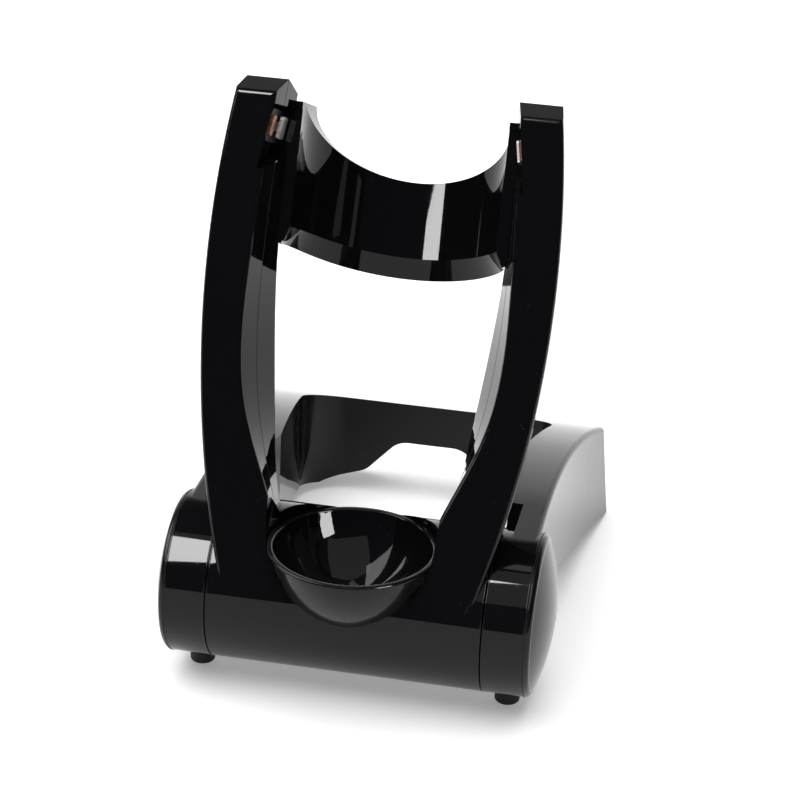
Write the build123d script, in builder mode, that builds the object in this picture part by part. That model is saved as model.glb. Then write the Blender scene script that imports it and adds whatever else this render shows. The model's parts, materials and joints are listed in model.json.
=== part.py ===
from build123d import *
import math
import os

os.makedirs("parts", exist_ok=True)

# Hinge barrel: the ends belong to the base, the middle turns with the upright
barrel_radius = 18.7
foot_height = 3.6
turning_half = 31.4
seam_gap = 0.3
housing_half = 41.0
housing_wall = 2.2
inner_wall = 3.0
body_gap = 0.4
cap_bulge = 4.6
cap_edge = 1.4
spigot_length = 1.6
spigot_wall = 1.5

# Base ring: a falling slab behind the barrel, measured back from the hinge axis
base_reach = 105.0
base_clearance = 0.8
wedge_flat = 18.0
wedge_lead = 2.0
wedge_end_height = 0.0
wedge_edge = 1.2
underside_front = 1.5
rear_foot_depth = 9.0
side_top_front = 40.6
side_top_rear = 43.2
side_foot_front = 42.4
side_foot_rear = 46.8
side_bow = 1.2
rear_top_setback = 3.7
rear_corner = 8.0
opening_front_half = 28.0
opening_rear_half = 32.4
opening_front = 40.0
rear_wall = 12.0
opening_corner = 10.0
arch_foot_half = 33.0
arch_shoulder_half = 17.0
arch_shoulder = 5.5
arch_top_half = 8.5
arch_height = 14.7
arch_round = 6.0
rear_bow = 1.2

# Upright: distances up the arms and depths behind their front face
lean = 22.3
arm_depth = 14.0
seam_depth = 6.5
tip_front = 110.1
tip_ridge = 113.7
tip_back = 110.3
bow_height = 71.0
knee_height = 40.0
root_height = 17.0
outer_bow = 39.5
outer_tip = 35.8
outer_root = 28.6
outer_draft = 1.2
inner_bow = 29.6
inner_tip = 26.9
inner_knee = 27.3
inner_root = 18.0
inner_bow_back = 25.4
inner_tip_back = 24.6
inner_knee_back = 22.4
inner_root_back = 18.7
inner_top_run = 0.08
inner_root_run = 0.35
arm_edge = 1.2
back_edge = 0.8

# Saddle between the arms, behind their inner edges
saddle_radius = 23.6
saddle_wall = 3.6
saddle_centre = 15.0
saddle_front = 12.5
saddle_tip = 109.4
saddle_dip = 94.6
saddle_low_side = 81.8
saddle_low_middle = 71.9
saddle_edge = 1.2
saddle_flare = 2.0
saddle_flare_height = 5.0

# Cup for the shaver's foot
cup_radius = 19.5
cup_wall = 1.5
cup_setback = 8.0
cup_rim_height = 16.0
cup_depth = 14.8
cup_floor = 3.0
cup_foot_radius = 6.0
cup_side_radius = 25.0

# Pivots and end stops
journal_radius = 6.0
journal_bore = 3.0
journal_reach = 5.0
flange_radius = 9.0
flange_thickness = 2.0
bearing_gap = 0.06
bush_wall = 2.0
washer_thickness = 0.7
stop_radius = 13.2
stop_pin_radius = 1.6
stop_reach = 2.0
stop_gap = 0.15
stop_place = 200.0
fold_angle = 30.0
swing_half = 34.6
swing_reach = 30.0

# Charging contacts in their pockets
pocket_bottom_front = 92.9
pocket_bottom_back = 97.5
pocket_top = 107.7
pocket_depth = 13.0
pocket_floor_low = 30.0
pocket_floor_high = 27.6
contact_height = 103.0
contact_centre = 6.6
contact_length = 6.0
contact_width = 5.0
contact_corner = 0.6
contact_margin = 0.6
contact_thickness = 0.5
contact_travel = 1.0
contact_stem = 2.2
collar_thickness = 0.6
terminal_width = 3.6
terminal_length = 4.6
terminal_thickness = 0.5
holder_length = 7.4
holder_width = 11.0
holder_depth = 4.8
holder_face = 1.6
holder_corner = 1.0
spring_thickness = 0.2
slide_gap = 0.08
fit_gap = 0.1

# Inlet in the rear wall
inlet_side = 35.0
inlet_height = 9.4
inlet_width = 9.2
inlet_tall = 6.4
inlet_length = 10.0
inlet_recess = 7.5
inlet_rim = 1.1
inlet_pin_radius = 0.6
inlet_pin_pitch = 4.0

# Hollow sides, covers, feet, screws and wires
cavity_width = 8.0
cavity_front = 9.0
cavity_margin = 9.3
cavity_middle = 36.4
cavity_turn = 2.2
cavity_depth = 17.0
cover_thickness = 1.6
cover_ledge = 1.0
cover_end = 5.0
cover_head_height = 0.8
cover_screw_length = 6.0
cover_corner = 2.0
front_foot_radius = 2.9
front_foot_side = 36.0
front_foot_forward = 1.5
front_foot_round = 0.8
rear_foot_length = 12.0
rear_foot_width = 5.0
rear_foot_side = 37.0
foot_recess = 1.0
screw_radius = 1.25
screw_head_radius = 2.2
screw_head_height = 1.4
screw_recess = 0.6
screw_bite = 1.5
cover_screw_radius = 0.9
cover_screw_head = 1.6
shell_screw_low = 30.0
shell_screw_low_side = 24.6
shell_screw_high = 88.0
shell_screw_high_side = 31.8
wire_radius = 0.7
supply_side = 38.0
supply_port_rise = 2.0
supply_drop = 12.0
supply_room = 2.0
supply_port_length = 11.0
supply_tail = 10.0
supply_start = 0.4
cable_radius = 1.2
wire_pair = 0.9
crossing_back = 8.0
crossing_drop = 9.0
crossing_half = 18.0
wire_room = 1.1
wire_turn = 23.6
wire_low = 20.0
wire_low_side = 27.6
wire_high = 62.0
wire_high_side = 36.0
wire_end = 97.0
wire_end_side = 34.9
wire_bend = 3.0
wire_bow = 30.0

# Places worked out from the sizes above
axis_height = barrel_radius + foot_height
opening_rear = base_reach - rear_wall
cup_reach = cup_setback + cup_radius
hinge_y = (cup_reach - base_reach - rear_bow) / 2
moving_half = turning_half - seam_gap / 2
fixed_half = turning_half + seam_gap / 2
bush_radius = journal_radius + bearing_gap + bush_wall
hinge = Vector(0, hinge_y, axis_height)
across = Vector(1, 0, 0)
backward = Vector(0, math.cos(math.radians(lean)), -math.sin(math.radians(lean)))
upward = Vector(0, math.sin(math.radians(lean)), math.cos(math.radians(lean)))
front_origin = hinge - backward * barrel_radius
sides = {"right": 1, "left": -1}

# Local x and y: back and up from the hinge axis
hinge_side = Plane(origin=hinge, x_dir=(0, 1, 0), z_dir=across)
# Local x and y: across and up the arms, on their front face
arm_front = Plane(origin=front_origin, x_dir=across, z_dir=backward * -1)
seam_plane = arm_front.offset(-seam_depth)
# Local x and y: depth behind the front face and up the arms
arm_side = Plane(origin=front_origin, x_dir=backward, z_dir=across)
# Local x and y: across and depth behind the front face
arm_plan = Plane(origin=front_origin, x_dir=across, z_dir=upward)
# Local x and y: across and back from the hinge axis, at the height of the ring's underside
base_plan = Plane(origin=(0, hinge_y, base_clearance), x_dir=across, z_dir=(0, 0, 1))
foot_line = hinge_y + base_reach - rear_foot_depth / 2
# Local x and y: across and back along the slanting underside of the ring, facing up
slab_start = barrel_radius - 1
slab_drop = axis_height - base_clearance - underside_front
slab_run = base_reach - rear_foot_depth - slab_start
cavity_rear = slab_run - cavity_margin
slab_angle = math.atan2(slab_drop, slab_run)
underside = Plane(
    origin=hinge + Vector(0, slab_start, -underside_front),
    x_dir=across,
    z_dir=(0, math.sin(slab_angle), math.cos(slab_angle)),
)


def side_plane(side, reach):
    """Plane across the hinge axis at a distance from the middle, facing outward."""
    return Plane(origin=hinge + across * (side * reach), x_dir=(0, 1, 0), z_dir=across * side)


def arm_point(side, depth, height):
    """A point placed across, behind the arms' front face and up the arms."""
    return front_origin + across * side + backward * depth + upward * height


def ring_outline(front_half, rear_half, rear, corner):
    """Outer plan of the ring: bowed sides and rounded rear corners."""
    middle = (front_half + rear_half) / 2 - side_bow
    with BuildLine() as outline:
        ThreePointArc((front_half, 0), (middle, rear / 2), (rear_half, rear - corner))
        RadiusArc((rear_half, rear - corner), (rear_half - corner, rear), -corner)
        ThreePointArc((rear_half - corner, rear), (0, rear + rear_bow), (corner - rear_half, rear))
        RadiusArc((corner - rear_half, rear), (-rear_half, rear - corner), -corner)
        ThreePointArc((-rear_half, rear - corner), (-middle, rear / 2), (-front_half, 0))
        Line((-front_half, 0), (front_half, 0))
    make_face(outline.edges())


def wedge_profile():
    """Side view of the ring: it leaves the barrel's top level and falls to the rear rim."""
    drop = barrel_radius - wedge_end_height
    run = base_reach - wedge_lead - wedge_flat
    bow_radius = (run * run + drop * drop) / (2 * drop)
    floor = base_clearance - axis_height
    end = base_reach + 1
    fall = bow_radius - math.sqrt(bow_radius**2 - (end - wedge_flat) ** 2)
    with BuildLine() as outline:
        Line((0, barrel_radius), (wedge_flat, barrel_radius))
        RadiusArc((wedge_flat, barrel_radius), (end, barrel_radius - fall), bow_radius)
        Polyline(
            (end, barrel_radius - fall),
            (end, floor),
            (base_reach - rear_foot_depth, floor),
            (slab_start, -underside_front),
            (0, -underside_front),
            (0, barrel_radius),
        )
    make_face(outline.edges())


def arm_outline(bow_in, tip_in, knee_in, root_in, draft):
    """One arm seen from the front."""
    top = tip_ridge + 3
    with BuildLine() as outline:
        ThreePointArc((outer_root - draft, 0), (outer_bow - draft, bow_height), (outer_tip - draft, top))
        Line((outer_tip - draft, top), (tip_in, top))
        Spline(
            (tip_in, top),
            (bow_in, bow_height),
            (knee_in, knee_height),
            (root_in, root_height),
            tangents=[(inner_top_run, -1), (-inner_root_run, -1)],
        )
        Line((root_in, root_height), (root_in - 3, 0))
        Line((root_in - 3, 0), (outer_root - draft, 0))
    make_face(outline.edges())


# One arm, before it is cut into its front and rear halves
with BuildPart() as arm:
    with BuildSketch(arm_front):
        arm_outline(inner_bow, inner_tip, inner_knee, inner_root, 0)
    with BuildSketch(arm_front.offset(-arm_depth)):
        arm_outline(inner_bow_back, inner_tip_back, inner_knee_back, inner_root_back, outer_draft)
    loft(ruled=True)
    with BuildSketch(arm_side):
        with BuildLine():
            Polyline(
                (-1, tip_front - (tip_ridge - tip_front) / seam_depth),
                (seam_depth, tip_ridge),
                (arm_depth + 1, tip_back),
                (arm_depth + 1, tip_ridge + 10),
                (-1, tip_ridge + 10),
                close=True,
            )
        make_face()
    extrude(amount=outer_bow + 10, mode=Mode.SUBTRACT)
    front_edges = arm.faces().sort_by(Axis(front_origin, backward))[0].edges().sort_by(Axis.Z)[1:]
    fillet(front_edges, arm_edge)
    back_face = arm.faces().sort_by(Axis(front_origin, backward))[-1]
    fillet(back_face.edges().sort_by(SortBy.LENGTH)[-2:], back_edge)

# Shallow pocket in the arm's inner face, open to the front
floor_slope = (pocket_floor_high - pocket_floor_low) / (pocket_top - pocket_bottom_front)
bottom_slope = (pocket_bottom_back - pocket_bottom_front) / pocket_depth
with BuildPart() as pocket:
    with BuildSketch(arm_front.offset(2)):
        with BuildLine():
            Polyline(
                (inner_tip_back / 2, pocket_bottom_front - 2),
                (pocket_floor_low - 2 * floor_slope, pocket_bottom_front - 2),
                (pocket_floor_high, pocket_top),
                (inner_tip_back / 2, pocket_top),
                close=True,
            )
        make_face()
    extrude(amount=-pocket_depth - 2)
    with BuildSketch(arm_side):
        with BuildLine():
            Polyline(
                (-2, pocket_bottom_front - 2 * bottom_slope),
                (pocket_depth, pocket_bottom_back),
                (pocket_depth, pocket_top),
                (-2, pocket_top),
                close=True,
            )
        make_face()
    extrude(amount=outer_bow, mode=Mode.INTERSECT)

# Local x and y: forward and up, on the floor of the right pocket, facing the middle
floor_tilt = math.atan(-floor_slope)
floor_side = pocket_floor_low + floor_slope * (contact_height - pocket_bottom_front)
inward = across * -math.cos(floor_tilt) - upward * math.sin(floor_tilt)
pocket_floor = Plane(
    origin=arm_point(floor_side, contact_centre, contact_height), x_dir=backward * -1, z_dir=inward
)
contact_place = (contact_length - holder_width) / 2 + contact_margin
contact_proud = contact_thickness + contact_travel + fit_gap
terminal_place = (holder_width - terminal_width) / 2 - contact_margin

# Room for the insert, open through the pocket floor
with BuildPart() as holder_room:
    with BuildSketch(pocket_floor.offset(1)):
        RectangleRounded(holder_width + 2 * fit_gap, holder_length + 2 * fit_gap, holder_corner + fit_gap)
    extrude(amount=-1 - holder_depth)

# Insert that guides the contact and carries the terminal
with BuildPart() as right_contact_holder:
    with BuildSketch(pocket_floor):
        RectangleRounded(holder_width, holder_length, holder_corner)
    extrude(amount=fit_gap - holder_depth)
    with BuildSketch(pocket_floor):
        with Locations((contact_place, 0)):
            Rectangle(contact_stem + 2 * slide_gap, contact_stem + 2 * slide_gap)
    extrude(amount=-holder_depth, mode=Mode.SUBTRACT)
    with BuildSketch(pocket_floor.offset(-holder_face)):
        with Locations((contact_place, 0)):
            Rectangle(contact_length, contact_width)
    extrude(amount=-holder_depth, mode=Mode.SUBTRACT)

# Sprung contact: plate in the pocket, stem through the insert, collar behind it
with BuildPart() as right_contact:
    with BuildSketch(pocket_floor.offset(contact_proud)):
        with Locations((contact_place, 0)):
            RectangleRounded(contact_length, contact_width, contact_corner)
    extrude(amount=-contact_thickness)
    with BuildSketch(pocket_floor.offset(contact_proud)):
        with Locations((contact_place, 0)):
            Rectangle(contact_stem, contact_stem)
    extrude(amount=-contact_proud - holder_face - slide_gap)
    with BuildSketch(pocket_floor.offset(-holder_face - slide_gap)):
        with Locations((contact_place, 0)):
            Rectangle(contact_length - 4 * slide_gap, contact_width - 4 * slide_gap)
    extrude(amount=-collar_thickness)

# Bowed leaf behind the collar, its ends on the floor of the insert's room
leaf_rise = holder_depth - fit_gap - holder_face - 2 * slide_gap - collar_thickness
leaf_half = contact_length / 2 - 4 * slide_gap
with BuildPart() as right_contact_spring:
    leaf_origin = pocket_floor.from_local_coords((contact_place, -contact_stem / 2, fit_gap - holder_depth))
    leaf_side = Plane(origin=leaf_origin, x_dir=pocket_floor.x_dir, z_dir=pocket_floor.y_dir * -1)
    with BuildSketch(leaf_side):
        with BuildLine():
            ThreePointArc((-leaf_half, 0), (0, leaf_rise), (leaf_half, 0))
            Line((leaf_half, 0), (leaf_half - spring_thickness, 0))
            ThreePointArc(
                (leaf_half - spring_thickness, 0),
                (0, leaf_rise - spring_thickness),
                (spring_thickness - leaf_half, 0),
            )
            Line((spring_thickness - leaf_half, 0), (-leaf_half, 0))
        make_face()
    extrude(amount=-contact_stem)

# Copper strip beside the contact
with BuildPart() as right_terminal:
    with BuildSketch(pocket_floor):
        with Locations((terminal_place, 0)):
            RectangleRounded(terminal_width, terminal_length, contact_corner)
    extrude(amount=terminal_thickness)

# Conductors from the right pivot up the two arms, in the seam between the shells
wire_paths = []
for mark in sides.values():
    start = hinge + Vector(fixed_half, 0, mark * wire_pair)
    corners = [hinge + Vector(wire_turn, 0, mark * wire_pair)]
    bends = [wire_bend]
    if mark < 0:
        corners += [
            hinge + Vector(crossing_half, crossing_back, -crossing_drop),
            hinge + Vector(-crossing_half, crossing_back, -crossing_drop),
        ]
        bends += [wire_bend, wire_bend]
    corners += [
        arm_point(mark * wire_low_side, seam_depth, wire_low),
        arm_point(mark * wire_high_side, seam_depth, wire_high),
    ]
    end = arm_point(mark * wire_end_side, seam_depth, wire_end)
    with BuildLine() as wire_path:
        FilletPolyline(start, *corners, end, radius=bends + [wire_bend, wire_bow])
    wire_paths.append(wire_path.line)


def swept_wire(path, radius):
    """A round body along a wire's path."""
    with BuildPart() as body:
        with BuildSketch(Plane(origin=path @ 0, z_dir=path % 0)):
            Circle(radius)
        sweep(path=path)
    return body


wires = [swept_wire(path, wire_radius) for path in wire_paths]
wire_rooms = [swept_wire(path, wire_room) for path in wire_paths]

# Screws that hold the rear shell, and the room for them
screw_places = [(shell_screw_low_side, shell_screw_low), (shell_screw_high_side, shell_screw_high)]
screw_places += [(-side, height) for side, height in screw_places]
screw_seat = arm_front.offset(screw_head_height + screw_recess - arm_depth)
screw_length = arm_depth - screw_recess - screw_head_height - seam_depth + screw_bite
with BuildPart() as shell_screws:
    with BuildSketch(screw_seat):
        with Locations(*screw_places):
            Circle(screw_head_radius)
    extrude(amount=-screw_head_height)
    with BuildSketch(screw_seat):
        with Locations(*screw_places):
            Circle(screw_radius)
    extrude(amount=screw_length)
with BuildPart() as screw_room:
    with BuildSketch(screw_seat):
        with Locations(*screw_places):
            Circle(screw_head_radius + fit_gap)
    extrude(amount=-arm_depth)
    with BuildSketch(screw_seat):
        with Locations(*screw_places):
            Circle(screw_radius + fit_gap)
    extrude(amount=screw_length + fit_gap)

# Outside of the cup, with the bowl inside it
cup_origin = hinge + Vector(0, -cup_setback, cup_rim_height)
cup_side = Plane(origin=cup_origin, x_dir=across, z_dir=(0, -1, 0))
cup_height = cup_depth + cup_floor
cup_axis = Axis(cup_origin, (0, 0, 1))
with BuildPart() as cup_outside:
    with BuildSketch(cup_side):
        with BuildLine():
            Line((0, 0), (cup_radius, 0))
            RadiusArc((cup_radius, 0), (cup_foot_radius, -cup_height), cup_side_radius)
            Polyline((cup_foot_radius, -cup_height), (0, -cup_height), (0, 0))
        make_face()
    revolve(axis=cup_axis)
with BuildPart() as foot_cup:
    add(cup_outside.part)
    with BuildSketch(cup_side):
        with BuildLine():
            Line((0, 0), (cup_radius - cup_wall, 0))
            RadiusArc(
                (cup_radius - cup_wall, 0),
                (cup_foot_radius - cup_wall, -cup_depth),
                cup_side_radius - cup_wall,
            )
            Polyline((cup_foot_radius - cup_wall, -cup_depth), (0, -cup_depth), (0, 0))
        make_face()
    revolve(axis=cup_axis, mode=Mode.SUBTRACT)
    fillet(foot_cup.edges().group_by(Axis.Z)[-1], cup_wall / 3)

# Space over the cup's rim, where the shaver's foot goes in
with BuildPart() as cup_entry:
    with BuildSketch(Plane(origin=cup_origin, z_dir=(0, 0, 1))):
        Circle(cup_radius)
    extrude(amount=cup_radius)

# Middle of the barrel with the front halves of the arms
stop_track = CenterArc((0, 0), stop_radius, stop_place, fold_angle)
with BuildPart() as upright_front_shell:
    add(arm.part)
    split(bisect_by=seam_plane, keep=Keep.TOP)
    mirror(about=Plane.YZ)
    for mark in sides.values():
        with BuildSketch(side_plane(mark, moving_half)):
            Circle(barrel_radius + body_gap)
        extrude(amount=housing_half, mode=Mode.SUBTRACT)
    with BuildSketch(side_plane(-1, moving_half)):
        Circle(barrel_radius)
    extrude(amount=-2 * moving_half)
    for tool in (cup_outside, cup_entry):
        add(tool.part, mode=Mode.SUBTRACT)
    for mark in sides.values():
        with BuildSketch(side_plane(mark, moving_half)):
            Circle(bush_radius)
        extrude(amount=-journal_reach, mode=Mode.SUBTRACT)
    for tool in (pocket, holder_room):
        add(tool.part, mode=Mode.SUBTRACT)
        add(mirror(tool.part, about=Plane.YZ, mode=Mode.PRIVATE), mode=Mode.SUBTRACT)
    for tool in (screw_room, *wire_rooms):
        add(tool.part, mode=Mode.SUBTRACT)
    with BuildSketch(side_plane(1, moving_half)):
        SlotArc(stop_track, 2 * (stop_pin_radius + stop_gap))
    extrude(amount=-stop_reach - stop_gap, mode=Mode.SUBTRACT)

# Rear halves of the arms with the saddle between them
with BuildPart() as saddle:
    saddle_outer = saddle_radius + saddle_wall
    with BuildSketch(arm_plan.offset(saddle_low_middle - 1)):
        with BuildLine():
            Line((saddle_outer, saddle_front), (saddle_outer, saddle_centre))
            RadiusArc((saddle_outer, saddle_centre), (-saddle_outer, saddle_centre), -saddle_outer)
            Polyline(
                (-saddle_outer, saddle_centre),
                (-saddle_outer, saddle_front),
                (-saddle_radius, saddle_front),
                (-saddle_radius, saddle_centre),
            )
            RadiusArc((-saddle_radius, saddle_centre), (saddle_radius, saddle_centre), saddle_radius)
            Polyline(
                (saddle_radius, saddle_centre), (saddle_radius, saddle_front), (saddle_outer, saddle_front)
            )
        make_face()
    extrude(amount=saddle_tip - saddle_low_middle + 2)
    with BuildSketch(arm_front):
        with BuildLine():
            EllipticalCenterArc(
                (0, saddle_tip), saddle_radius, saddle_tip - saddle_dip, start_angle=180, arc_size=180
            )
            Polyline(
                (saddle_radius, saddle_tip),
                (saddle_outer + 2, saddle_tip),
                (saddle_outer + 2, saddle_low_side),
            )
            EllipticalCenterArc(
                (0, saddle_low_side),
                saddle_outer + 2,
                saddle_low_side - saddle_low_middle,
                start_angle=180,
                arc_size=180,
            )
            Polyline(
                (-saddle_outer - 2, saddle_low_side),
                (-saddle_outer - 2, saddle_tip),
                (-saddle_radius, saddle_tip),
            )
        make_face()
    extrude(amount=-arm_depth - 2 * saddle_outer, mode=Mode.INTERSECT)
    curved = saddle.faces().filter_by(GeomType.CYLINDER).sort_by(SortBy.AREA)
    inner_wall_face = curved[0]
    lip = inner_wall_face.edges().sort_by(Axis(front_origin, upward))[0]
    chamfer(lip, saddle_flare_height, saddle_flare, reference=inner_wall_face)
    rims = [
        face.edges().sort_by(Axis(front_origin, upward))[-1]
        for face in saddle.faces().filter_by(GeomType.CYLINDER)
    ]
    fillet(rims, saddle_edge)

with BuildPart() as upright_rear_shell:
    add(arm.part)
    split(bisect_by=seam_plane, keep=Keep.BOTTOM)
    mirror(about=Plane.YZ)
    with BuildSketch(side_plane(-1, moving_half)):
        Circle(barrel_radius + fit_gap)
    extrude(amount=-2 * moving_half, mode=Mode.SUBTRACT)
    for mark in sides.values():
        with BuildSketch(side_plane(mark, moving_half)):
            Circle(barrel_radius + body_gap)
        extrude(amount=housing_half, mode=Mode.SUBTRACT)
    add(cup_entry.part, mode=Mode.SUBTRACT)
    add(saddle.part)
    for tool in (pocket, holder_room):
        add(tool.part, mode=Mode.SUBTRACT)
        add(mirror(tool.part, about=Plane.YZ, mode=Mode.PRIVATE), mode=Mode.SUBTRACT)
    for tool in (screw_room, *wire_rooms):
        add(tool.part, mode=Mode.SUBTRACT)


def folded_back(height):
    """A point on the backs of the folded arms, with clearance, back and up from the hinge axis."""
    angle = math.radians(lean + fold_angle)
    front = barrel_radius - arm_depth - body_gap
    return (
        height * math.sin(angle) - front * math.cos(angle),
        height * math.cos(angle) + front * math.sin(angle),
    )


def opening_outline():
    """Plan of the opening: it clears the barrel, then follows the ring's sides to the rear rim."""
    rear = opening_rear - opening_corner
    corner = opening_rear_half - opening_corner
    with BuildLine() as outline:
        for mark in sides.values():
            Polyline(
                (0, -barrel_radius),
                (mark * fixed_half, -barrel_radius),
                (mark * fixed_half, barrel_radius + body_gap),
                (mark * opening_front_half, opening_front),
                (mark * opening_rear_half, rear),
            )
            RadiusArc((mark * opening_rear_half, rear), (mark * corner, opening_rear), -mark * opening_corner)
            Line((mark * corner, opening_rear), (0, opening_rear))
    make_face(outline.edges())


# Hollow in the right side of the ring, open below, with a ledge for its cover
cavity_centre = (cavity_middle, (cavity_front + cavity_rear) / 2)
cavity_length = cavity_rear - cavity_front
with BuildPart() as side_hollow:
    with BuildSketch(underside.offset(-base_clearance)):
        with Locations(Location((*cavity_centre, 0), (0, 0, -cavity_turn))):
            RectangleRounded(
                cavity_width + 2 * cover_ledge, cavity_length + 2 * cover_end, cover_corner + fit_gap
            )
    extrude(amount=base_clearance + cover_thickness)
    with BuildSketch(underside):
        with Locations(Location((*cavity_centre, 0), (0, 0, -cavity_turn))):
            RectangleRounded(cavity_width, cavity_length, cover_corner)
    extrude(amount=cavity_depth)
    with BuildSketch(underside):
        with Locations(Location((*cavity_centre, 0), (0, 0, -cavity_turn))):
            with Locations((0, cavity_length / 2 + cover_end / 2), (0, -cavity_length / 2 - cover_end / 2)):
                Circle(cover_screw_radius + fit_gap)
    extrude(amount=cover_screw_length + fit_gap)

# Cable's way from the inlet, through the right hollow, to the right pivot
inlet_front = hinge_y + base_reach - rear_top_setback / 2
inlet_face = Plane(origin=(inlet_side, inlet_front, inlet_height), x_dir=across, z_dir=(0, 1, 0))
inlet_pin_places = [(-inlet_pin_pitch / 2, 0), (inlet_pin_pitch / 2, 0)]
supply_turn = hinge + Vector(supply_side, 0, 0)
supply_port = hinge + Vector(supply_side, barrel_radius, supply_port_rise)
supply_rear = hinge + Vector(inlet_side, opening_rear - opening_corner, -supply_drop)
supply_end = hinge + Vector(fixed_half, 0, 0)
inlet_back = inlet_face.offset(-inlet_length)
with BuildLine() as supply_path:
    FilletPolyline(
        inlet_back.origin - Vector(0, supply_start, 0),
        supply_rear,
        supply_port,
        supply_turn,
        supply_end,
        radius=[wire_bow, wire_bend, wire_bend],
    )

# Ring and end housings in one moulding
with BuildPart() as base_shell:
    with BuildSketch(base_plan):
        ring_outline(side_foot_front, side_foot_rear, base_reach, rear_corner)
    with BuildSketch(base_plan.offset(axis_height + barrel_radius - base_clearance)):
        ring_outline(side_top_front, side_top_rear, base_reach - rear_top_setback, rear_corner)
    loft(ruled=True)
    with BuildSketch(hinge_side.offset(-base_reach)):
        wedge_profile()
    extrude(amount=2 * base_reach, mode=Mode.INTERSECT)
    falling_top = base_shell.faces().filter_by(GeomType.CYLINDER).sort_by(SortBy.AREA)[-1]
    flat_top = base_shell.faces().sort_by(Axis.Z)[-1]
    outer_rims = [
        edge
        for face in (falling_top, flat_top)
        for edge in face.edges()
        if abs(edge.center().X) > opening_rear_half or edge.center().Y > hinge_y + opening_rear
    ]
    fillet(outer_rims, wedge_edge)
    with BuildSketch(base_plan.offset(-base_clearance)):
        opening_outline()
    extrude(amount=2 * axis_height + barrel_radius, mode=Mode.SUBTRACT)
    for mark in sides.values():
        with BuildSketch(side_plane(mark, housing_half)):
            Circle(barrel_radius + fit_gap)
        extrude(amount=barrel_radius, mode=Mode.SUBTRACT)
        with BuildSketch(side_plane(mark, fixed_half)):
            Circle(barrel_radius)
        extrude(amount=housing_half - fixed_half)
    with BuildSketch(side_plane(1, fixed_half)):
        Circle(barrel_radius + body_gap)
    extrude(amount=-2 * fixed_half, mode=Mode.SUBTRACT)
    for mark in sides.values():
        with BuildSketch(side_plane(mark, fixed_half + inner_wall)):
            Circle(barrel_radius - housing_wall)
        extrude(amount=housing_half, mode=Mode.SUBTRACT)
        with BuildSketch(side_plane(mark, fixed_half)):
            Circle(journal_radius)
        extrude(amount=inner_wall, mode=Mode.SUBTRACT)
    with BuildSketch(hinge_side.offset(-swing_half)):
        with BuildLine():
            low, high = folded_back(0), folded_back(swing_reach)
            Polyline(low, high, (low[0], high[1]), close=True)
        make_face()
        Circle(barrel_radius, mode=Mode.SUBTRACT)
    extrude(amount=2 * swing_half, mode=Mode.SUBTRACT)
    arch_plane = Plane(origin=(0, hinge_y + opening_rear, base_clearance), x_dir=across, z_dir=(0, -1, 0))
    with BuildSketch(arch_plane.offset(opening_corner)):
        with BuildLine():
            Polyline(
                (-arch_foot_half, -arch_round),
                (-arch_foot_half, 0),
                (-arch_shoulder_half, arch_shoulder),
                (-arch_top_half, arch_height),
                (arch_top_half, arch_height),
                (arch_shoulder_half, arch_shoulder),
                (arch_foot_half, 0),
                (arch_foot_half, -arch_round),
                close=True,
            )
        make_face()
        fillet(vertices().group_by(Axis.Y)[-2:], arch_round)
    extrude(amount=-base_reach, mode=Mode.SUBTRACT)
    add(side_hollow.part, mode=Mode.SUBTRACT)
    add(mirror(side_hollow.part, about=Plane.YZ, mode=Mode.PRIVATE), mode=Mode.SUBTRACT)
    with BuildSketch(inlet_face):
        SlotOverall(inlet_width + 2 * fit_gap, inlet_tall + 2 * fit_gap)
    extrude(amount=-inlet_length - fit_gap, mode=Mode.SUBTRACT)
    with BuildSketch(inlet_face):
        SlotOverall(inlet_width + 2 * fit_gap, inlet_tall + 2 * fit_gap)
    extrude(amount=rear_top_setback, mode=Mode.SUBTRACT)
    with BuildSketch(inlet_back):
        Circle(supply_room)
    extrude(amount=-supply_tail, mode=Mode.SUBTRACT)
    with BuildSketch(Plane(origin=supply_port, z_dir=supply_rear - supply_port)):
        Circle(supply_room)
    extrude(amount=supply_port_length, both=True, mode=Mode.SUBTRACT)
    with BuildSketch(Plane(origin=(0, hinge_y - front_foot_forward, 0), z_dir=(0, 0, 1))):
        with Locations((front_foot_side, 0), (-front_foot_side, 0)):
            Circle(front_foot_radius + fit_gap)
    extrude(amount=foot_height + foot_recess + fit_gap, mode=Mode.SUBTRACT)
    with BuildSketch(Plane(origin=(0, foot_line, 0), z_dir=(0, 0, 1))):
        with Locations((rear_foot_side, 0), (-rear_foot_side, 0)):
            SlotOverall(rear_foot_length + 2 * fit_gap, rear_foot_width + 2 * fit_gap)
    extrude(amount=base_clearance + foot_recess + fit_gap, mode=Mode.SUBTRACT)
    with BuildSketch(side_plane(1, fixed_half)):
        with PolarLocations(stop_radius, 1, start_angle=stop_place):
            Circle(stop_pin_radius)
    extrude(amount=-seam_gap - stop_reach)

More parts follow.
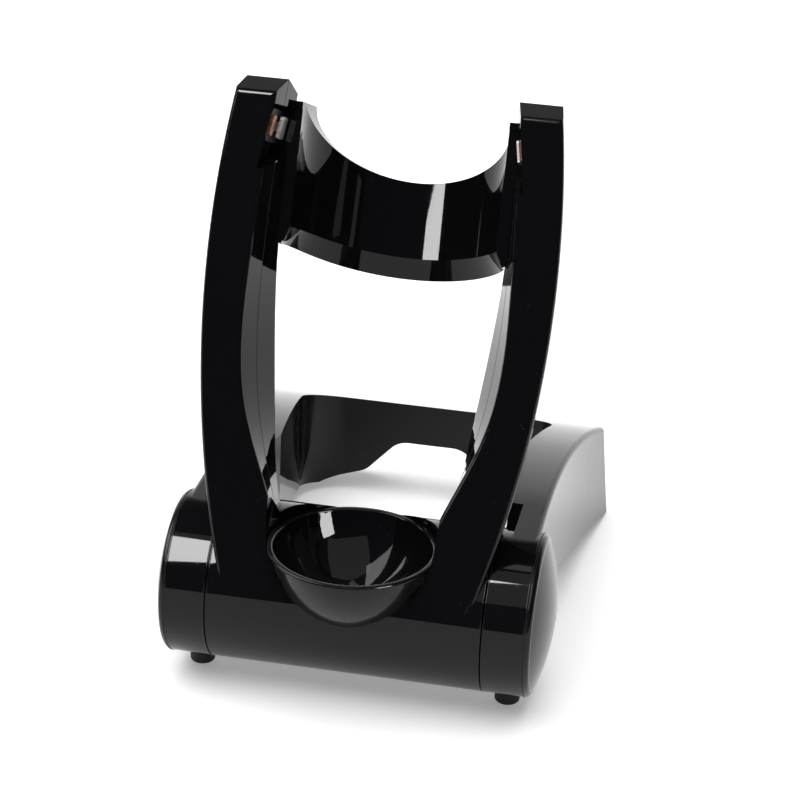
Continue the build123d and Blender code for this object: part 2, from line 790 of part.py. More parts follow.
# Domed cap with a spigot that plugs the right housing
with BuildPart() as right_end_cap:
    dome_start = barrel_radius - cap_edge
    dome_rise = cap_bulge - cap_edge
    dome_radius = (dome_start**2 + dome_rise**2) / (2 * dome_rise)
    cap_side = Plane(origin=hinge + across * housing_half, x_dir=(0, 1, 0), z_dir=(0, 0, -1))
    with BuildSketch(cap_side):
        with BuildLine():
            Line((0, 0), (barrel_radius, 0))
            RadiusArc((barrel_radius, 0), (dome_start, cap_edge), -cap_edge)
            RadiusArc((dome_start, cap_edge), (0, cap_bulge), -dome_radius)
            Line((0, cap_bulge), (0, 0))
        make_face()
    revolve(axis=Axis(hinge, across))
    spigot_radius = barrel_radius - housing_wall - fit_gap
    with BuildSketch(side_plane(1, housing_half)):
        Circle(spigot_radius)
    extrude(amount=-spigot_length)
    with BuildSketch(side_plane(1, housing_half - spigot_length)):
        Circle(spigot_radius - spigot_wall)
    extrude(amount=spigot_length + cap_edge, mode=Mode.SUBTRACT)

# Cover that closes the right hollow from below
with BuildPart() as right_bottom_cover:
    with BuildSketch(underside):
        with Locations(Location((*cavity_centre, 0), (0, 0, -cavity_turn))):
            RectangleRounded(
                cavity_width + 2 * (cover_ledge - fit_gap),
                cavity_length + 2 * (cover_end - fit_gap),
                cover_corner,
            )
            with Locations((0, cavity_length / 2 + cover_end / 2), (0, -cavity_length / 2 - cover_end / 2)):
                Circle(cover_screw_radius + fit_gap, mode=Mode.SUBTRACT)
    extrude(amount=cover_thickness)
    with BuildSketch(underside):
        with Locations(Location((*cavity_centre, 0), (0, 0, -cavity_turn))):
            with Locations((0, cavity_length / 2 + cover_end / 2), (0, -cavity_length / 2 - cover_end / 2)):
                Circle(cover_screw_head + fit_gap)
    extrude(amount=cover_head_height, mode=Mode.SUBTRACT)

with BuildPart() as right_cover_screws:
    with BuildSketch(underside):
        with Locations(Location((*cavity_centre, 0), (0, 0, -cavity_turn))):
            with Locations((0, cavity_length / 2 + cover_end / 2), (0, -cavity_length / 2 - cover_end / 2)):
                Circle(cover_screw_head)
    extrude(amount=cover_head_height)
    with BuildSketch(underside):
        with Locations(Location((*cavity_centre, 0), (0, 0, -cavity_turn))):
            with Locations((0, cavity_length / 2 + cover_end / 2), (0, -cavity_length / 2 - cover_end / 2)):
                Circle(cover_screw_radius)
    extrude(amount=cover_screw_length)
with BuildPart() as cover_screws:
    add(right_cover_screws.part)
    mirror(about=Plane.YZ)

# Hollow journal with a flange inside the right end housing
with BuildPart() as right_pivot:
    with BuildSketch(side_plane(1, moving_half - journal_reach + washer_thickness)):
        Circle(journal_radius)
    extrude(amount=journal_reach - washer_thickness + seam_gap + inner_wall)
    with BuildSketch(side_plane(1, fixed_half + inner_wall)):
        Circle(flange_radius)
    extrude(amount=flange_thickness)
    with BuildSketch(side_plane(1, moving_half - journal_reach)):
        Circle(journal_bore)
    extrude(amount=housing_half, mode=Mode.SUBTRACT)

# Bearing bush and the spring washer outside it, both in the end of the turning barrel
washer_recess = washer_thickness - seam_gap + slide_gap
with BuildPart() as right_bush:
    with BuildSketch(side_plane(1, moving_half - washer_recess)):
        Circle(bush_radius)
        Circle(journal_radius + bearing_gap, mode=Mode.SUBTRACT)
    extrude(amount=washer_recess - journal_reach)
with BuildPart() as right_friction_washer:
    with BuildSketch(side_plane(1, moving_half - washer_recess)):
        Circle(bush_radius - slide_gap)
        Circle(journal_radius + bearing_gap, mode=Mode.SUBTRACT)
    extrude(amount=washer_thickness)

# Feet
with BuildPart() as front_feet:
    with BuildSketch(Plane(origin=(0, hinge_y - front_foot_forward, 0), z_dir=(0, 0, 1))):
        with Locations((front_foot_side, 0), (-front_foot_side, 0)):
            Circle(front_foot_radius)
    extrude(amount=foot_height + foot_recess)
    fillet(front_feet.edges().group_by(Axis.Z)[0], front_foot_round)
with BuildPart() as rear_feet:
    with BuildSketch(Plane(origin=(0, foot_line, 0), z_dir=(0, 0, 1))):
        with Locations((rear_foot_side, 0), (-rear_foot_side, 0)):
            SlotOverall(rear_foot_length, rear_foot_width)
    extrude(amount=base_clearance + foot_recess)

# Inlet: a rimmed block through the rear wall, with two pins in its recess
with BuildPart() as inlet_socket:
    with BuildSketch(inlet_face):
        SlotOverall(inlet_width, inlet_tall)
    extrude(amount=-inlet_length)
    with BuildSketch(inlet_face):
        SlotOverall(inlet_width - 2 * inlet_rim, inlet_tall - 2 * inlet_rim)
    extrude(amount=-inlet_recess, mode=Mode.SUBTRACT)
    with BuildSketch(inlet_face):
        with Locations(*inlet_pin_places):
            Circle(inlet_pin_radius)
    extrude(amount=-inlet_length, mode=Mode.SUBTRACT)
with BuildPart() as inlet_pins:
    with BuildSketch(inlet_face.offset(-inlet_rim)):
        with Locations(*inlet_pin_places):
            Circle(inlet_pin_radius)
    extrude(amount=inlet_rim - inlet_length)

# Two-core cable from the inlet to the right pivot, and one conductor to each contact
with BuildPart() as base_cable:
    with BuildSketch(Plane(origin=supply_path.line @ 0, z_dir=supply_path.line % 0)):
        Circle(cable_radius)
    sweep(path=supply_path.line)
with BuildPart() as contact_wires:
    for wire in wires:
        add(wire.part)

pieces = {
    "base_shell": base_shell,
    "front_feet": front_feet,
    "rear_feet": rear_feet,
    "cover_screws": cover_screws,
    "inlet_socket": inlet_socket,
    "inlet_pins": inlet_pins,
    "base_cable": base_cable,
    "upright_front_shell": upright_front_shell,
    "upright_rear_shell": upright_rear_shell,
    "foot_cup": foot_cup,
    "shell_screws": shell_screws,
    "contact_wires": contact_wires,
}
paired = {
    "end_cap": right_end_cap,
    "bottom_cover": right_bottom_cover,
    "pivot": right_pivot,
    "bush": right_bush,
    "friction_washer": right_friction_washer,
    "contact_holder": right_contact_holder,
    "contact": right_contact,
    "contact_spring": right_contact_spring,
    "terminal": right_terminal,
}
for name, right_piece in paired.items():
    with BuildPart() as left_piece:
        add(mirror(right_piece.part, about=Plane.YZ, mode=Mode.PRIVATE))
    pieces[f"right_{name}"] = right_piece
    pieces[f"left_{name}"] = left_piece

for name, piece in pieces.items():
    piece.part.label = name
    export_step(piece.part, f"parts/{name}.step")
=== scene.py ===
import json
import math

import bmesh
import bpy
from mathutils import Matrix, Vector


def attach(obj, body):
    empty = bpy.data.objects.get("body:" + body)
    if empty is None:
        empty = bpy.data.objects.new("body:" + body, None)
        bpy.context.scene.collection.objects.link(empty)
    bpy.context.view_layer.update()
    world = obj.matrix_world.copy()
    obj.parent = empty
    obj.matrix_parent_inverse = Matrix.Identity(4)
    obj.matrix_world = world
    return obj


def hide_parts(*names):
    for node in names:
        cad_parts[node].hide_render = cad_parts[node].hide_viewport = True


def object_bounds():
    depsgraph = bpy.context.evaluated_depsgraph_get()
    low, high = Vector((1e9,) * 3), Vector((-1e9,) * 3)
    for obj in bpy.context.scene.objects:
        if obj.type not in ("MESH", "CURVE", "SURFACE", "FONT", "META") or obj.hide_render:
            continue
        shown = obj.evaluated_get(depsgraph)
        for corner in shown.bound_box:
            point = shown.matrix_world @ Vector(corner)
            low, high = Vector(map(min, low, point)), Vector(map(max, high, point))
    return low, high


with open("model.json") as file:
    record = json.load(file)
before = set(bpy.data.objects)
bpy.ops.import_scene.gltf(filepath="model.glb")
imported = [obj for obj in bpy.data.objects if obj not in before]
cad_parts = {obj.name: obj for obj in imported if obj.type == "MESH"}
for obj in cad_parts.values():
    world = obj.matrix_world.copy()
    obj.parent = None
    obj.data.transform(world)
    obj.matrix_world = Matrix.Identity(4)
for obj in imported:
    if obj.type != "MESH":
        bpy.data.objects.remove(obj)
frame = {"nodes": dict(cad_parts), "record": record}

cad_low, cad_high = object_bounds()
nodes = frame["nodes"]
MM = 0.001

# Sizes taken from the CAD model, in metres
HINGE = Vector((0.0, -39.35 * MM, 22.3 * MM))
BARREL_RADIUS = 18.7 * MM
TURNING_END = 31.25 * MM
FIXED_START = 31.55 * MM
HOUSING_END = 41.0 * MM

# The upright leans: one direction goes through its arms, the other along them
LEAN = math.radians(22.3)
BACKWARD = Vector((0.0, math.cos(LEAN), -math.sin(LEAN)))
UPWARD = Vector((0.0, math.sin(LEAN), math.cos(LEAN)))
ARM_FRONT = HINGE - BACKWARD * BARREL_RADIUS
SEAM_DEPTH = 6.5 * MM


class Signal:
    """A value in a material's nodes; arithmetic on it adds the Math nodes."""

    def __init__(self, finish, socket):
        self.finish = finish
        self.socket = socket

    def maths(self, operation, first, second):
        return self.finish.add("ShaderNodeMath", {"operation": operation}, {0: first, 1: second})

    def __add__(self, other):
        return self.maths("ADD", self, other)

    def __radd__(self, other):
        return self.maths("ADD", other, self)

    def __rsub__(self, other):
        return self.maths("SUBTRACT", other, self)

    def __mul__(self, other):
        return self.maths("MULTIPLY", self, other)


class Finish:
    """A material with one Principled surface, made of named patterns."""

    def __init__(self, name, **constants):
        self.material = bpy.data.materials.new(name)
        self.material.use_nodes = True
        self.tree = self.material.node_tree
        self.tree.nodes.clear()
        self.surface = self.tree.nodes.new("ShaderNodeBsdfPrincipled")
        output = self.tree.nodes.new("ShaderNodeOutputMaterial")
        self.tree.links.new(self.surface.outputs[0], output.inputs["Surface"])
        self.place = self.add("ShaderNodeTexCoord", output="Object")
        self.feed(self.surface, constants)

    def feed(self, node, inputs):
        """Sets a node's sockets to plain values or links them to signals."""
        for key, value in inputs.items():
            socket = node.inputs[key]
            if isinstance(value, Signal):
                self.tree.links.new(value.socket, socket)
            else:
                socket.default_value = value

    def add(self, kind, settings=None, inputs=None, output=0):
        """Adds a node with its settings and sockets, and gives one of its outputs."""
        node = self.tree.nodes.new(kind)
        for key, value in (settings or {}).items():
            setattr(node, key, value)
        self.feed(node, inputs or {})
        return Signal(self, node.outputs[output])

    def noise(self, scale, detail=3.0, roughness=0.5, place=None, distortion=0.0):
        values = {
            "Vector": place or self.place,
            "Scale": scale,
            "Detail": detail,
            "Roughness": roughness,
            "Distortion": distortion,
        }
        return self.add("ShaderNodeTexNoise", inputs=values)

    def stretched(self, factors, turn=(0.0, 0.0, 0.0)):
        """Object coordinates turned and stretched, for hairlines and brushing."""
        values = {"Vector": self.place, "Rotation": turn, "Scale": factors}
        return self.add("ShaderNodeMapping", inputs=values)

    def between(self, value, low, high):
        """The value's part between low and high, spread smoothly from 0 to 1."""
        span = {"Value": value, "From Min": low, "From Max": high}
        return self.add("ShaderNodeMapRange", {"interpolation_type": "SMOOTHSTEP"}, span)

    def blend(self, amount, first, second):
        """A colour between two, by amount. The colours are sockets 6 and 7 and output 2."""
        sockets = {0: amount, 6: first, 7: second}
        return self.add("ShaderNodeMix", {"data_type": "RGBA"}, sockets, 2)

    def bump(self, height, depth, strength, below=None):
        """A normal from a pattern that is depth metres deep, over an earlier normal if there is one."""
        sockets = {"Height": height, "Distance": depth, "Strength": strength}
        if below is not None:
            sockets["Normal"] = below
        return self.add("ShaderNodeBump", inputs=sockets)

    def dress(self, **channels):
        """Feeds the surface's sockets; underscores stand for the blanks in their names."""
        self.feed(self.surface, {key.replace("_", " "): value for key, value in channels.items()})
        return self.material


def grey(level, tint=(1.0, 1.0, 1.0)):
    """A grey of this level, a little coloured by the tint."""
    return (level * tint[0], level * tint[1], level * tint[2], 1.0)


# Tints of the black mouldings and of the bearing plastic
INK = (0.95, 0.93, 1.1)
IVORY = (1.0, 0.98, 0.93)


def polished_black(name, smear=1.0, scratch=1.0):
    """Piano-black moulding: slow ripples, smears, hairlines and a little dust."""
    finish = Finish(name, **{"IOR": 1.5, "Specular IOR Level": 0.2})
    ripple = finish.noise(22.0, 1.0)
    peel = finish.noise(900.0, 2.0)
    smears = finish.between(finish.noise(38.0, 4.0, 0.62, distortion=1.2), 0.48, 0.8)
    along = finish.stretched((1.0, 0.05, 0.06), (0.5, 0.3, 0.2))
    across = finish.stretched((0.05, 1.0, 0.07), (0.1, 0.7, -0.4))
    hairs = finish.between(finish.noise(2600.0, 1.0, place=along), 0.68, 0.76)
    hairs = hairs + finish.between(finish.noise(2300.0, 1.0, place=across), 0.69, 0.77)
    specks = finish.between(finish.noise(1500.0, 2.0, 0.7), 0.71, 0.75)
    dust = specks * finish.between(finish.noise(90.0, 3.0), 0.45, 0.7)
    colour = finish.blend(finish.noise(14.0, 2.0), grey(0.0022, INK), grey(0.0036, INK))
    colour = finish.blend(dust * 0.2, colour, grey(0.2))
    roughness = 0.03 + smears * (0.045 * smear) + hairs * (0.04 * scratch) + dust * 0.2
    normal = finish.bump(peel, 0.000004, 0.25)
    normal = finish.bump(ripple, 0.0002, 0.35, normal)
    normal = finish.bump(hairs, 0.000002, 0.15 * scratch, normal)
    return finish.dress(Base_Color=colour, Roughness=roughness, Normal=normal)


def matt_black(name):
    """Spark-textured dark plastic, rubbed a little shinier in patches."""
    finish = Finish(name, IOR=1.48)
    grain = finish.noise(2400.0, 3.0, 0.7)
    rub = finish.between(finish.noise(120.0, 3.0), 0.45, 0.7)
    colour = finish.blend(grain, grey(0.011), grey(0.019))
    normal = finish.bump(grain, 0.00003, 0.55)
    return finish.dress(Base_Color=colour, Roughness=0.62 - rub * 0.2, Normal=normal)


def black_rubber(name):
    """Grainy rubber with a pale bloom in patches."""
    finish = Finish(name, IOR=1.45)
    grain = finish.noise(3000.0, 4.0, 0.75)
    bloom = finish.between(finish.noise(260.0, 3.0), 0.4, 0.75)
    colour = finish.blend(bloom, grey(0.008), grey(0.028, (1.0, 0.98, 0.94)))
    normal = finish.bump(grain, 0.00005, 0.6)
    return finish.dress(Base_Color=colour, Roughness=0.7 + bloom * 0.22, Normal=normal)


def plain_steel(name):
    """Brushed steel with faint warm stains."""
    finish = Finish(name, Metallic=1.0)
    streak = finish.noise(4200.0, 2.0, place=finish.stretched((1.0, 0.08, 0.08)))
    stain = finish.between(finish.noise(420.0, 3.0), 0.45, 0.75)
    colour = finish.blend(stain, grey(0.6, (1.0, 0.99, 0.97)), grey(0.42, (1.0, 0.95, 0.88)))
    roughness = 0.24 + streak * 0.14 + stain * 0.12
    normal = finish.bump(streak, 0.00001, 0.3)
    return finish.dress(Base_Color=colour, Roughness=roughness, Normal=normal)


def nickel_plate(name):
    """Plated contact, rubbed dull where the shaver slides in."""
    finish = Finish(name, Metallic=1.0)
    rub = finish.noise(5200.0, 2.0, place=finish.stretched((0.1, 1.0, 1.0), (0.0, 0.0, 0.2)))
    worn = finish.between(finish.noise(700.0, 3.0), 0.4, 0.7)
    colour = finish.blend(worn, grey(0.9, (1.0, 0.985, 0.95)), grey(0.6, (1.0, 0.93, 0.84)))
    roughness = 0.2 + rub * 0.16 + worn * 0.12
    normal = finish.bump(rub, 0.00001, 0.35)
    return finish.dress(Base_Color=colour, Roughness=roughness, Normal=normal)


def dull_copper(name):
    """Copper strip with brown tarnish."""
    finish = Finish(name, Metallic=1.0)
    tarnish = finish.between(finish.noise(900.0, 4.0, 0.65), 0.35, 0.7)
    colour = finish.blend(tarnish, (0.5, 0.24, 0.14, 1.0), (0.16, 0.07, 0.045, 1.0))
    normal = finish.bump(finish.noise(3600.0, 2.0), 0.00001, 0.3)
    return finish.dress(Base_Color=colour, Roughness=0.3 + tarnish * 0.3, Normal=normal)


def pale_acetal(name):
    """Off-white bearing plastic."""
    finish = Finish(name, IOR=1.48)
    haze = finish.noise(180.0, 3.0)
    colour = finish.blend(haze, grey(0.55, IVORY), grey(0.68, IVORY))
    normal = finish.bump(finish.noise(2000.0, 2.0), 0.00001, 0.3)
    return finish.dress(Base_Color=colour, Roughness=0.35 + haze * 0.2, Normal=normal)


def cable_sleeve(name):
    """Soft dark sleeve of the conductors."""
    finish = Finish(name, IOR=1.5)
    mottle = finish.noise(800.0, 3.0)
    colour = finish.blend(mottle, grey(0.02), grey(0.05))
    normal = finish.bump(finish.noise(1500.0, 2.0), 0.00002, 0.3)
    return finish.dress(Base_Color=colour, Roughness=0.38 + mottle * 0.2, Normal=normal)


def seam_shadow(name):
    """Painted shade for the dark inside of a seam, with some lint in it."""
    finish = Finish(name, IOR=1.45)
    lint = finish.between(finish.noise(1400.0, 3.0), 0.5, 0.8)
    colour = finish.blend(lint, grey(0.002), grey(0.02))
    normal = finish.bump(lint, 0.00002, 0.4)
    return finish.dress(Base_Color=colour, Roughness=0.75 + lint * 0.2, Normal=normal)


shell_black = polished_black("polished_black")
cup_black = polished_black("polished_black_cup", smear=1.6, scratch=2.2)
finishes = {
    "gloss_black": shell_black,
    "matt_black": matt_black("spark_black"),
    "foot_rubber": black_rubber("foot_rubber"),
    "steel": plain_steel("plain_steel"),
    "contact_plating": nickel_plate("nickel_plate"),
    "copper_strip": dull_copper("dull_copper"),
    "pale_bearing": pale_acetal("pale_acetal"),
    "wire_sleeve": cable_sleeve("cable_sleeve"),
}
# Painted shade for the seams and for the crosses in the screw heads
painted_seam_shade = seam_shadow("seam_shadow")


def paint(piece, material):
    piece.data.materials.clear()
    piece.data.materials.append(material)


for entry in frame["record"]["subparts"]:
    paint(nodes[entry["node"]], finishes[entry["material_slot"]])
paint(nodes["foot_cup"], cup_black)


# Tools for the small pieces that are added to the CAD parts
def new_piece(name, mesh):
    """Turns a finished bmesh into an object in the model's frame."""
    data = bpy.data.meshes.new(name)
    mesh.to_mesh(data)
    mesh.free()
    piece = bpy.data.objects.new(name, data)
    bpy.context.scene.collection.objects.link(piece)
    return piece


def fit_piece(name, mesh, material, body, smooth=True):
    """Turns a mesh into a painted piece that rides on a body."""
    bmesh.ops.recalc_face_normals(mesh, faces=mesh.faces)
    for face in mesh.faces:
        face.smooth = smooth
    piece = new_piece(name, mesh)
    paint(piece, material)
    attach(piece, body)
    return piece


def merged_copy(node):
    """The surface of a CAD node as one welded mesh."""
    mesh = bmesh.new()
    mesh.from_mesh(nodes[node].data)
    bmesh.ops.remove_doubles(mesh, verts=mesh.verts, dist=0.001 * MM)
    return mesh


def cut_away(mesh, place, normal):
    """Takes off everything on the normal's side of a plane."""
    geometry = mesh.verts[:] + mesh.edges[:] + mesh.faces[:]
    bmesh.ops.bisect_plane(mesh, geom=geometry, plane_co=place, plane_no=normal, clear_outer=True)


# Rounded edges at the seams of the barrel, and dark lines of painted shade in the seams between the caps
# and housings
EDGE_RADIUS = 0.16 * MM
EDGE_RISE = 0.07 * MM
GROOVE_RADIUS = 0.11 * MM
GROOVE_RISE = 0.05 * MM
CAP_EDGE_BEFORE_SEAM = 0.28 * MM
DOME_EDGE_PAST_SEAM = 0.24 * MM


def hoop(name, across, rise, bead_radius, material, body):
    """A thin round bead around the barrel that stands out from it by its rise."""
    mesh = bmesh.new()
    centre = HINGE + Vector((across, 0.0, BARREL_RADIUS - bead_radius + rise))
    place = Matrix.Translation(centre) @ Matrix.Rotation(math.radians(90), 4, "X")
    bmesh.ops.create_circle(mesh, segments=10, radius=bead_radius, matrix=place)
    outline = mesh.verts[:] + mesh.edges[:]
    turn = {"axis": (1.0, 0.0, 0.0), "cent": HINGE, "angle": math.tau, "steps": 180, "use_merge": True}
    bmesh.ops.spin(mesh, geom=outline, **turn)
    return fit_piece(name, mesh, material, body)


edges = []
for side, sign in (("left", -1), ("right", 1)):
    edge_places = (
        ("cap", HOUSING_END - CAP_EDGE_BEFORE_SEAM, "base"),
        ("dome", HOUSING_END + DOME_EDGE_PAST_SEAM, "base"),
        ("housing", FIXED_START + EDGE_RADIUS, "base"),
        ("barrel", TURNING_END - EDGE_RADIUS, "upright"),
    )
    for label, across, body in edge_places:
        name = f"{side}_{label}_edge"
        edges.append(hoop(name, sign * across, EDGE_RISE, EDGE_RADIUS, shell_black, body))
    name = f"{side}_cap_seam"
    # A dark ring of painted shade in the seam between cap and housing
    hoop(name, sign * HOUSING_END, GROOVE_RISE, GROOVE_RADIUS, painted_seam_shade, "base")

# Line where the two shells of the arms meet: a thin band of painted shade on the front shell, just before
# its edge
BAND_NEAR = 0.02 * MM
BAND_FAR = 0.16 * MM
BAND_THICKNESS = 0.02 * MM
BAND_ABOVE_BARREL = 0.8 * MM
seam_place = ARM_FRONT + BACKWARD * SEAM_DEPTH
seam_line = merged_copy("upright_front_shell")
cut_away(seam_line, seam_place - BACKWARD * BAND_NEAR, BACKWARD)
cut_away(seam_line, seam_place - BACKWARD * BAND_FAR, -BACKWARD)
cut_away(seam_line, HINGE + UPWARD * (BARREL_RADIUS + BAND_ABOVE_BARREL), -UPWARD)
bmesh.ops.recalc_face_normals(seam_line, faces=seam_line.faces)
bmesh.ops.solidify(seam_line, geom=seam_line.faces[:], thickness=-BAND_THICKNESS)
fit_piece("arm_seam", seam_line, painted_seam_shade, "upright", smooth=False)

# Screws that hold the rear shell; the two bars of each cross, dark with painted shade in place of the
# recess, are let into its head
HEAD_RADIUS = 2.2 * MM
HEAD_HEIGHT = 1.4 * MM
HEAD_ROUNDING = 0.42 * MM
SHANK_RADIUS = 1.25 * MM
SHANK_LENGTH = 7.0 * MM
BAR_LENGTH = 2.42 * MM
BAR_WIDTH = 0.528 * MM
BAR_HEIGHT = 0.44 * MM
BAR_MIDDLE_DEPTH = 0.2 * MM
BAR_TURNS = (25.0, 115.0)


def node_islands(node):
    """The middles of a node's separate lumps."""
    mesh = merged_copy(node)
    waiting = set(mesh.verts)
    middles = []
    while waiting:
        lump = set()
        reached = [waiting.pop()]
        while reached:
            vert = reached.pop()
            lump.add(vert)
            for edge in vert.link_edges:
                other = edge.other_vert(vert)
                if other in waiting:
                    waiting.remove(other)
                    reached.append(other)
        low = Vector(min(vert.co[axis] for vert in lump) for axis in range(3))
        high = Vector(max(vert.co[axis] for vert in lump) for axis in range(3))
        middles.append((low + high) / 2)
    mesh.free()
    return sorted(middles, key=tuple)


def cross_screws(name, node, body, seats, facing):
    """Screws with rounded heads and a cross in each, in place of plain ones."""
    heads = bmesh.new()
    crosses = bmesh.new()
    turn = facing.to_track_quat("Z", "Y").to_matrix().to_4x4()

    def cylinder(radius, length, middle):
        place = Matrix.Translation(middle) @ turn
        shape = {"segments": 32, "cap_ends": True, "radius1": radius, "radius2": radius, "depth": length}
        return bmesh.ops.create_cone(heads, matrix=place, **shape)["verts"]

    for seat in seats:
        made = cylinder(HEAD_RADIUS, HEAD_HEIGHT, seat + facing * (HEAD_HEIGHT / 2))
        below_top = seat + facing * (HEAD_HEIGHT - 0.01 * MM)
        rim = [
            edge
            for edge in {edge for vert in made for edge in vert.link_edges}
            if all((vert.co - below_top).dot(facing) > 0 for vert in edge.verts)
        ]
        rounding = {"offset": HEAD_ROUNDING, "segments": 3, "profile": 0.5, "affect": "EDGES"}
        bmesh.ops.bevel(heads, geom=rim, material=-1, **rounding)
        cylinder(SHANK_RADIUS, SHANK_LENGTH, seat - facing * (SHANK_LENGTH / 2))
        for angle in BAR_TURNS:
            bar = Matrix.Translation(seat + facing * (HEAD_HEIGHT - BAR_MIDDLE_DEPTH)) @ turn
            bar = bar @ Matrix.Rotation(math.radians(angle), 4, "Z")
            bar = bar @ Matrix.Diagonal((BAR_LENGTH, BAR_WIDTH, BAR_HEIGHT, 1.0))
            bmesh.ops.create_cube(crosses, size=1.0, matrix=bar)
    heads_piece = fit_piece(name, heads, finishes["steel"], body, smooth=False)
    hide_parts(node)
    # The crosses are dark bars of painted shade in place of the hollow recess
    fit_piece(name + "_crosses", crosses, painted_seam_shade, body, smooth=False)


seat_past_middle = (SHANK_LENGTH - HEAD_HEIGHT) / 2
seats = [middle + BACKWARD * seat_past_middle for middle in node_islands("shell_screws")]
cross_screws("shell_cross_screws", "shell_screws", "upright", seats, BACKWARD)


# Camera at the photograph's angle
PHOTO_WIDTH = 800
FOCAL_PIXELS = 2655.0
CAMERA_AZIMUTH = math.radians(10.0)
CAMERA_ELEVATION = math.radians(25.0)
CAMERA_ROLL = math.radians(2.5)
CAMERA_DISTANCE = 607.0 * MM
AIM_RIGHT = 9.6 * MM
AIM_UP = 43.8 * MM


def direction(azimuth, elevation):
    """The direction from the model to a place around it; azimuth 0 is in front."""
    level = math.cos(elevation)
    return Vector((math.sin(azimuth) * level, -math.cos(azimuth) * level, math.sin(elevation)))


toward = direction(CAMERA_AZIMUTH, CAMERA_ELEVATION)
level_right = Vector((math.cos(CAMERA_AZIMUTH), math.sin(CAMERA_AZIMUTH), 0.0))
level_up = toward.cross(level_right)
right = level_right * math.cos(CAMERA_ROLL) + level_up * math.sin(CAMERA_ROLL)
up = level_up * math.cos(CAMERA_ROLL) - level_right * math.sin(CAMERA_ROLL)
lens = bpy.data.cameras.new("photo_camera")
lens.sensor_width = 36.0
lens.lens = FOCAL_PIXELS / PHOTO_WIDTH * lens.sensor_width
lens.clip_start = 0.05
lens.clip_end = 50.0
camera = bpy.data.objects.new("photo_camera", lens)
bpy.context.scene.collection.objects.link(camera)
viewpoint = HINGE + right * AIM_RIGHT + up * AIM_UP + toward * CAMERA_DISTANCE
camera.matrix_world = Matrix.Translation(viewpoint) @ Matrix((right, up, toward)).transposed().to_4x4()
bpy.context.scene.camera = camera


# Floor and backdrop
FLOOR_HALF = 6.0
FLOOR_BELOW = 0.1 * MM
WALL_DISTANCE = 1.7
WALL_TOP = WALL_DISTANCE * math.tan(math.radians(52.0))
WALL_HALF = 2.6
# Heights on the wall between which it fades
FADE_START = 0.65
FADE_END = 1.5


def stage_sheet(name, half, place, material):
    mesh = bmesh.new()
    bmesh.ops.create_grid(mesh, x_segments=1, y_segments=1, size=half, matrix=place)
    sheet = new_piece(name, mesh)
    paint(sheet, material)


def paper_finish(name, glow):
    return Finish(name, **{"Roughness": 0.7, "Specular IOR Level": 0.2, "Emission Strength": glow})


def pale_paper(name, glow):
    """Even pale paper that glows a little."""
    paper = paper_finish(name, glow)
    cloud = paper.noise(6.0, 2.0)
    fibre = paper.bump(paper.noise(900.0, 2.0), 0.00002, 0.2)
    shade = paper.blend(cloud, grey(0.9), grey(0.93))
    return paper.dress(Base_Color=shade, Emission_Color=shade, Normal=fibre)


def fading_paper(name, glow):
    """Pale paper that is darker and glows less towards the top."""
    paper = paper_finish(name, glow)
    height = paper.add("ShaderNodeSeparateXYZ", inputs={"Vector": paper.place}, output=2)
    dim = paper.between(height + paper.noise(3.0, 2.0) * 0.1, FADE_START, FADE_END)
    shade = paper.blend(dim, grey(0.9), grey(0.06))
    return paper.dress(Base_Color=shade, Emission_Color=shade)


floor_place = Matrix.Translation((0.0, 0.0, cad_low.z - FLOOR_BELOW))
stage_sheet("studio_floor", FLOOR_HALF, floor_place, pale_paper("pale_floor", 0.3))
wall_place = Matrix.Translation((0.0, WALL_DISTANCE, WALL_TOP - WALL_HALF))
wall_place = wall_place @ Matrix.Rotation(math.radians(90), 4, "X")
stage_sheet("studio_wall", WALL_HALF, wall_place, fading_paper("pale_wall", 0.6))

# A dim bluish surround
world = bpy.data.worlds.new("studio")
world.use_nodes = True
sky = world.node_tree.nodes["Background"]
sky.inputs["Color"].default_value = (0.6, 0.58, 0.7, 1.0)
sky.inputs["Strength"].default_value = 0.15
bpy.context.scene.world = world
bpy.context.scene.view_settings.view_transform = "Standard"


# Light: a broad overhead lamp, and windows that only show in the gloss
SUN_PLACE = (-0.35, -0.25, 2.0)
SUN_STRENGTH = 3.8
SUN_SPREAD = math.radians(75)
WINDOW_CENTRE = Vector((0.0, -0.02, 0.06))
WINDOW_REACH = 1.1
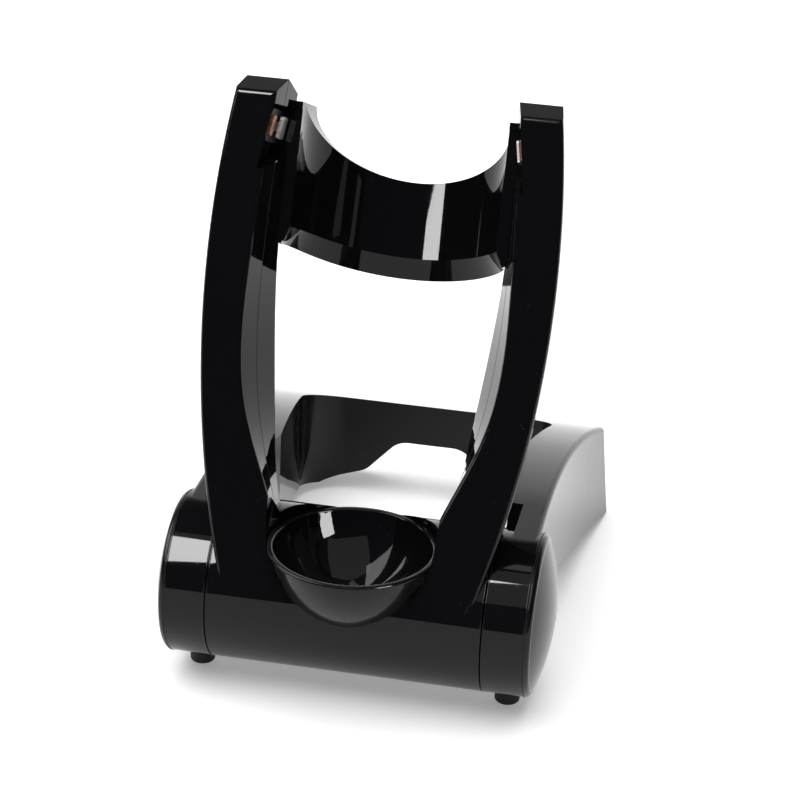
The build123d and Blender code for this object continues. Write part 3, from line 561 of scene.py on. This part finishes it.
# Azimuth, elevation, width and height of each window in degrees, then its brightness
WINDOWS = {
    "left_window": (-27.0, 49.0, 14.0, 37.0, 34.0),
    "saddle_window": (-37.0, 14.0, 18.0, 19.0, 34.0),
    "right_window": (52.0, 19.0, 18.0, 24.0, 34.0),
    "left_sky": (-82.0, 44.0, 40.0, 50.0, 6.0),
    "right_sky": (22.0, 62.0, 60.0, 48.0, 0.8),
    "top_sky": (-120.0, 84.0, 8.0, 16.0, 1.8),
}


def studio_light(name, kind, place, aim, energy, **settings):
    data = bpy.data.lights.new(name, kind)
    data.energy = energy
    for key, value in settings.items():
        setattr(data, key, value)
    lamp = bpy.data.objects.new(name, data)
    bpy.context.scene.collection.objects.link(lamp)
    lamp.location = place
    lamp.rotation_euler = (Vector(aim) - Vector(place)).to_track_quat("-Z", "Y").to_euler()
    return lamp


def reflected_window(name, azimuth, elevation, wide, tall, brightness):
    """A soft box that only shows in the gloss, placed and sized in degrees around the model."""
    place = direction(math.radians(azimuth), math.radians(elevation)) * WINDOW_REACH + WINDOW_CENTRE
    width = 2 * WINDOW_REACH * math.tan(math.radians(wide / 2))
    height = 2 * WINDOW_REACH * math.tan(math.radians(tall / 2))
    energy = brightness * math.pi * width * height
    size = {"shape": "RECTANGLE", "size": width, "size_y": height}
    box = studio_light(name, "AREA", place, WINDOW_CENTRE, energy, **size)
    box.visible_diffuse = False
    return box


def seen_only_in(window, *pieces):
    """Hides a window from all pieces but these."""
    audience = bpy.data.collections.new(window.name + "_audience")
    for piece in pieces:
        audience.objects.link(piece)
    window.light_linking.receiver_collection = audience


overhead = studio_light("overhead_sky", "SUN", SUN_PLACE, (0.0, 0.0, 0.0), SUN_STRENGTH, angle=SUN_SPREAD)
overhead.visible_glossy = False
windows = {name: reflected_window(name, *settings) for name, settings in WINDOWS.items()}
base_gloss = [nodes[name] for name in ("base_shell", "left_end_cap", "right_end_cap")]
contacts = [nodes["left_contact"], nodes["right_contact"]]
seen_only_in(windows["left_window"], *base_gloss, *edges, nodes["upright_front_shell"])
seen_only_in(windows["saddle_window"], nodes["upright_rear_shell"], *contacts)
seen_only_in(windows["right_window"], nodes["foot_cup"], *contacts)
